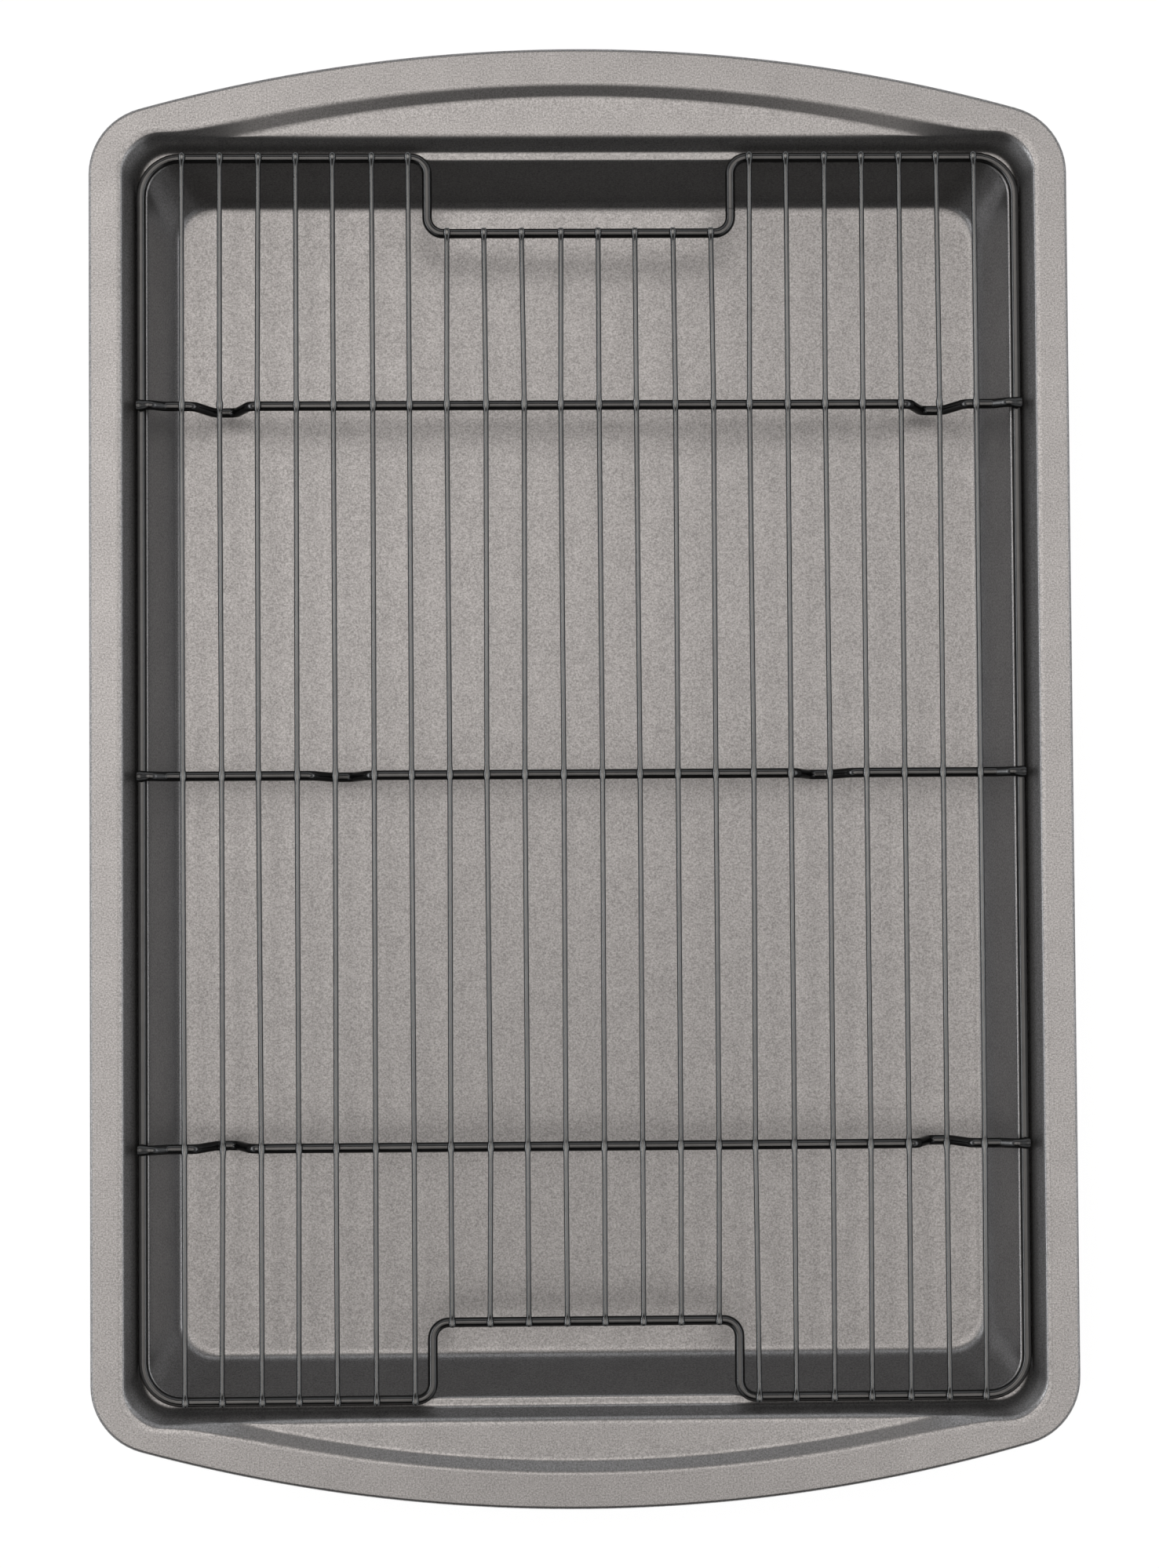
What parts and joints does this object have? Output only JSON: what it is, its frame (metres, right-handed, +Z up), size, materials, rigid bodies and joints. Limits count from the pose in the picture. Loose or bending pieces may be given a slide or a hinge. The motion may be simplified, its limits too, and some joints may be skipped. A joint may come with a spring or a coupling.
{
  "type": "baking pan with rack",
  "caption": "Shallow rectangular steel baking pan with bowed handle ends, a ledge inside its wall, and a drop-in wire rack with finger notches and bent-down feet.",
  "frame": {"origin": "on the table, under the middle of the pan", "axes": "+Y along the pan's length from one handle to the other, +X across it, +Z up out of the pan"},
  "size_m": [0.301, 0.447, 0.032],
  "materials": {
    "pan_coating": "warm grey metallic non-stick coating, satin, on stamped steel sheet",
    "rack_coating": "smooth dark non-stick coating, semi-gloss, on round steel wire"
  },
  "bodies": {
    "pan": {"pan": "pan_coating"},
    "rack": {"rack_frame": "rack_coating", "support_wire_far": "rack_coating", "support_wire_middle": "rack_coating", "support_wire_near": "rack_coating", "grid_wire_01": "rack_coating", "grid_wire_02": "rack_coating", "grid_wire_03": "rack_coating", "grid_wire_04": "rack_coating", "grid_wire_05": "rack_coating", "grid_wire_06": "rack_coating", "grid_wire_07": "rack_coating", "grid_wire_08": "rack_coating", "grid_wire_09": "rack_coating", "grid_wire_10": "rack_coating", "grid_wire_11": "rack_coating", "grid_wire_12": "rack_coating", "grid_wire_13": "rack_coating", "grid_wire_14": "rack_coating", "grid_wire_15": "rack_coating", "grid_wire_16": "rack_coating", "grid_wire_17": "rack_coating", "grid_wire_18": "rack_coating", "grid_wire_19": "rack_coating", "grid_wire_20": "rack_coating", "grid_wire_21": "rack_coating", "grid_wire_22": "rack_coating"}
  },
  "joints": [
    {"name": "rack_lift", "type": "slide", "parent": "pan", "child": "rack", "axis": [0, 0, 1], "range_m": [0, 0.06]}
  ]
}
